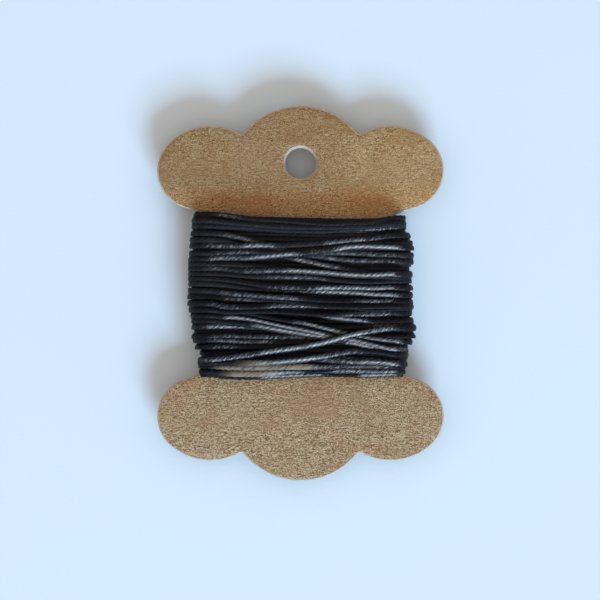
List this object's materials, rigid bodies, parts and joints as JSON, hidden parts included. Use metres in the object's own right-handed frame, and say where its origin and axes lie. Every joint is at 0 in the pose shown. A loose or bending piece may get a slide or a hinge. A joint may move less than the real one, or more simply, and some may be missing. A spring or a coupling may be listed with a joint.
{
  "type": "waxed thread card",
  "caption": "Flat die-cut card bobbin with rounded lobes and a hang hole, its narrow waist wound with waxed thread.",
  "frame": {"origin": "under the middle of the card, on the flat of the back winding that the bobbin lies on", "axes": "+Z out of the card's front face, +Y towards the end with the hang hole, +X to the right seen from the front"},
  "size_m": [0.0534, 0.07, 0.0088],
  "materials": {
    "kraft_board": "uncoated brown kraft board, matt, fine fibres",
    "waxed_thread": "black waxed twisted thread, soft waxy sheen"
  },
  "bodies": {
    "root": {"kraft_card": "kraft_board", "thread_winding": "waxed_thread"}
  },
  "joints": []
}
